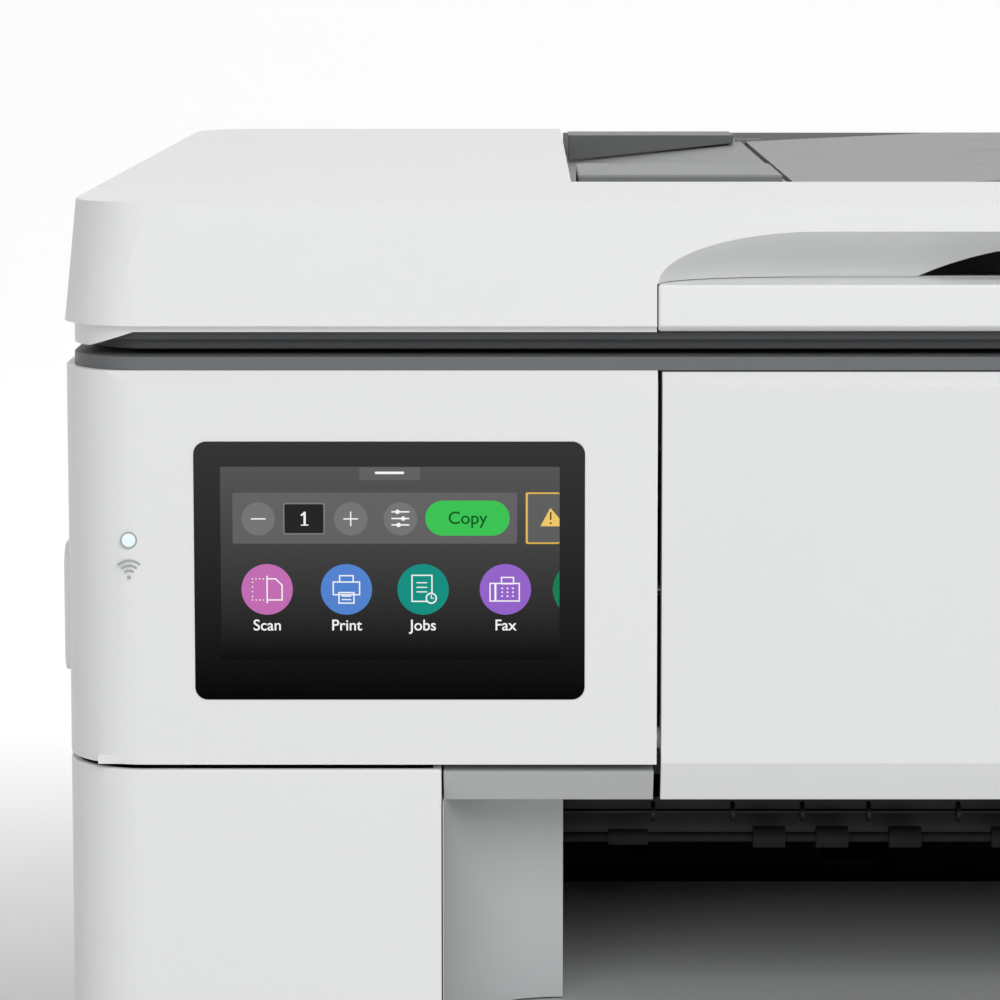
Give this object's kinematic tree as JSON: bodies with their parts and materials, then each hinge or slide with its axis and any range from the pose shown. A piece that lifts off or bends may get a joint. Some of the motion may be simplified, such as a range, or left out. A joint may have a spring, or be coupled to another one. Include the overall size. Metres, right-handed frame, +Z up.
{
  "type": "inkjet printer",
  "caption": "Wide-format inkjet printer with a scanner lid, document feeder, touch screen, front door and paper trays.",
  "frame": {"origin": "on the surface the feet stand on, in the middle of the width and depth", "axes": "+X to the printer's right as seen from the front, +Y to the back, +Z up"},
  "size_m": [0.585, 0.466, 0.383],
  "materials": {
    "white_plastic": "fine spark texture",
    "light_grey_plastic": "satin",
    "mid_grey_plastic": "satin",
    "dark_grey_plastic": "satin",
    "black_plastic": "satin",
    "foam_white": "matt",
    "screen_glass": "gloss",
    "display": "satin",
    "lamp": "gloss",
    "clear_glass": "clear",
    "steel": "brushed",
    "rubber": "matt",
    "circuit": "satin",
    "ink_tank": "gloss"
  },
  "bodies": {
    "base": {"feet": "rubber", "base_frame": "dark_grey_plastic", "lower_casing_left": "white_plastic", "lower_casing_right": "white_plastic", "upper_casing_left": "white_plastic", "upper_casing_right": "white_plastic", "display_glass": "screen_glass", "display_panel": "display", "wireless_lamp": "lamp", "bay_wall_left": "light_grey_plastic", "bay_wall_right": "light_grey_plastic", "output_deck": "light_grey_plastic", "engine_frame": "steel", "guide_rod": "steel", "carriage_belt": "rubber", "motors": "steel", "platen": "dark_grey_plastic", "service_station": "dark_grey_plastic", "power_supply": "steel", "main_board": "circuit", "power_inlet": "black_plastic", "port_sockets": "black_plastic", "back_cover": "white_plastic", "casing_screws": "steel", "scanner_frame": "dark_grey_plastic", "scanner_glass": "clear_glass"},
    "lid": {"lid_shell": "white_plastic", "lid_grip": "white_plastic", "lid_base": "dark_grey_plastic", "lid_backing": "foam_white", "lid_hinges": "steel", "feeder_frame": "mid_grey_plastic"},
    "feeder_lid": {"feeder_cover": "white_plastic"},
    "flap": {"document_flap": "light_grey_plastic"},
    "guide_front": {"document_guide_front": "mid_grey_plastic"},
    "guide_rear": {"document_guide_rear": "mid_grey_plastic"},
    "document_roller": {"feeder_roller": "rubber"},
    "door": {"front_door": "white_plastic"},
    "button": {"power_button": "white_plastic"},
    "back_door": {"rear_door": "white_plastic"},
    "scanner_bar": {"scan_bar": "dark_grey_plastic"},
    "head_carriage": {"carriage": "dark_grey_plastic", "print_head": "black_plastic", "ink_cartridges": "ink_tank"},
    "belt_pulley": {"drive_pulley": "black_plastic"},
    "feed_shaft": {"feed_roller": "rubber"},
    "exit_shaft": {"output_rollers": "rubber"},
    "star_shaft": {"star_wheels": "black_plastic"},
    "pick_shaft": {"pick_roller": "rubber"},
    "extension": {"output_extension": "light_grey_plastic"},
    "upper_drawer": {"tray_upper": "dark_grey_plastic", "tray_front_upper": "white_plastic"},
    "lower_drawer": {"tray_lower": "dark_grey_plastic", "tray_front_lower": "white_plastic"},
    "upper_guide_left": {"side_guide_upper_left": "mid_grey_plastic"},
    "upper_guide_right": {"side_guide_upper_right": "mid_grey_plastic"},
    "upper_length_guide": {"length_guide_upper": "mid_grey_plastic"},
    "lower_guide_left": {"side_guide_lower_left": "mid_grey_plastic"},
    "lower_guide_right": {"side_guide_lower_right": "mid_grey_plastic"},
    "lower_length_guide": {"length_guide_lower": "mid_grey_plastic"}
  },
  "joints": [
    {"name": "scanner_lid", "type": "hinge", "parent": "base", "child": "lid", "pos_m": [0, 0.219, 0.345], "axis": [-1, 0, 0], "range_deg": [0, 70]},
    {"name": "feeder_cover_hinge", "type": "hinge", "parent": "lid", "child": "feeder_lid", "pos_m": [-0.2903, 0, 0.3531], "axis": [0, -1, 0], "range_deg": [0, 75]},
    {"name": "document_flap_hinge", "type": "hinge", "parent": "lid", "child": "flap", "pos_m": [-0.0734, 0, 0.377], "axis": [0, -1, 0], "range_deg": [0, 35]},
    {"name": "document_guide_front_slide", "type": "slide", "parent": "lid", "child": "guide_front", "axis": [0, 1, 0], "range_m": [-0.014, 0.07]},
    {"name": "document_guide_rear_slide", "type": "slide", "parent": "lid", "child": "guide_rear", "axis": [0, 1, 0], "range_m": [-0.07, 0.014]},
    {"name": "document_roller_spin", "type": "hinge", "parent": "lid", "child": "document_roller", "pos_m": [-0.205, 0, 0.3715], "axis": [0, 1, 0], "continuous": true},
    {"name": "front_door_hinge", "type": "hinge", "parent": "base", "child": "door", "pos_m": [0, -0.222, 0.229], "axis": [1, 0, 0], "range_deg": [0, 90]},
    {"name": "power_button_press", "type": "slide", "parent": "base", "child": "button", "axis": [1, 0, 0], "range_m": [0, 0.0015], "stiffness_N_per_m": 400},
    {"name": "rear_door_hinge", "type": "hinge", "parent": "base", "child": "back_door", "pos_m": [0, 0.228, 0.034], "axis": [-1, 0, 0], "range_deg": [0, 80]},
    {"name": "scan_bar_travel", "type": "slide", "parent": "base", "child": "scanner_bar", "axis": [1, 0, 0], "range_m": [0, 0.43]},
    {"name": "carriage_travel", "type": "slide", "parent": "base", "child": "head_carriage", "axis": [-1, 0, 0], "range_m": [0, 0.38]},
    {"name": "drive_pulley_spin", "type": "hinge", "parent": "base", "child": "belt_pulley", "pos_m": [0.238, 0.04, 0.262], "axis": [0, 0, -1], "range_deg": [0, 3400]},
    {"name": "feed_roller_spin", "type": "hinge", "parent": "base", "child": "feed_shaft", "pos_m": [0, -0.07, 0.188], "axis": [1, 0, 0], "continuous": true},
    {"name": "output_roller_spin", "type": "hinge", "parent": "base", "child": "exit_shaft", "pos_m": [0, -0.163, 0.1858], "axis": [1, 0, 0], "continuous": true},
    {"name": "star_wheel_spin", "type": "hinge", "parent": "base", "child": "star_shaft", "pos_m": [0, -0.163, 0.1936], "axis": [1, 0, 0], "continuous": true},
    {"name": "pick_roller_spin", "type": "hinge", "parent": "base", "child": "pick_shaft", "pos_m": [0, 0.13, 0.102], "axis": [1, 0, 0], "continuous": true},
    {"name": "output_extension_slide", "type": "slide", "parent": "base", "child": "extension", "axis": [0, -1, 0], "range_m": [0, 0.14]},
    {"name": "upper_tray_slide", "type": "slide", "parent": "base", "child": "upper_drawer", "axis": [0, -1, 0], "range_m": [0, 0.3]},
    {"name": "lower_tray_slide", "type": "slide", "parent": "base", "child": "lower_drawer", "axis": [0, -1, 0], "range_m": [0, 0.3]},
    {"name": "upper_guide_left_slide", "type": "slide", "parent": "upper_drawer", "child": "upper_guide_left", "axis": [1, 0, 0], "range_m": [0, 0.09]},
    {"name": "upper_guide_right_slide", "type": "slide", "parent": "upper_drawer", "child": "upper_guide_right", "axis": [1, 0, 0], "range_m": [-0.09, 0]},
    {"name": "upper_length_guide_slide", "type": "slide", "parent": "upper_drawer", "child": "upper_length_guide", "axis": [0, 1, 0], "range_m": [0, 0.12]},
    {"name": "lower_guide_left_slide", "type": "slide", "parent": "lower_drawer", "child": "lower_guide_left", "axis": [1, 0, 0], "range_m": [0, 0.09]},
    {"name": "lower_guide_right_slide", "type": "slide", "parent": "lower_drawer", "child": "lower_guide_right", "axis": [1, 0, 0], "range_m": [-0.09, 0]},
    {"name": "lower_length_guide_slide", "type": "slide", "parent": "lower_drawer", "child": "lower_length_guide", "axis": [0, 1, 0], "range_m": [0, 0.12]}
  ],
  "couplings": [
    {"joint": "document_guide_rear_slide", "follows": "document_guide_front_slide", "ratio": -1},
    {"joint": "drive_pulley_spin", "follows": "carriage_travel", "rad_per_m": 153.85},
    {"joint": "output_roller_spin", "follows": "feed_roller_spin", "ratio": 2.1875},
    {"joint": "star_wheel_spin", "follows": "feed_roller_spin", "ratio": -2.3333},
    {"joint": "upper_guide_right_slide", "follows": "upper_guide_left_slide", "ratio": -1},
    {"joint": "lower_guide_right_slide", "follows": "lower_guide_left_slide", "ratio": -1}
  ]
}
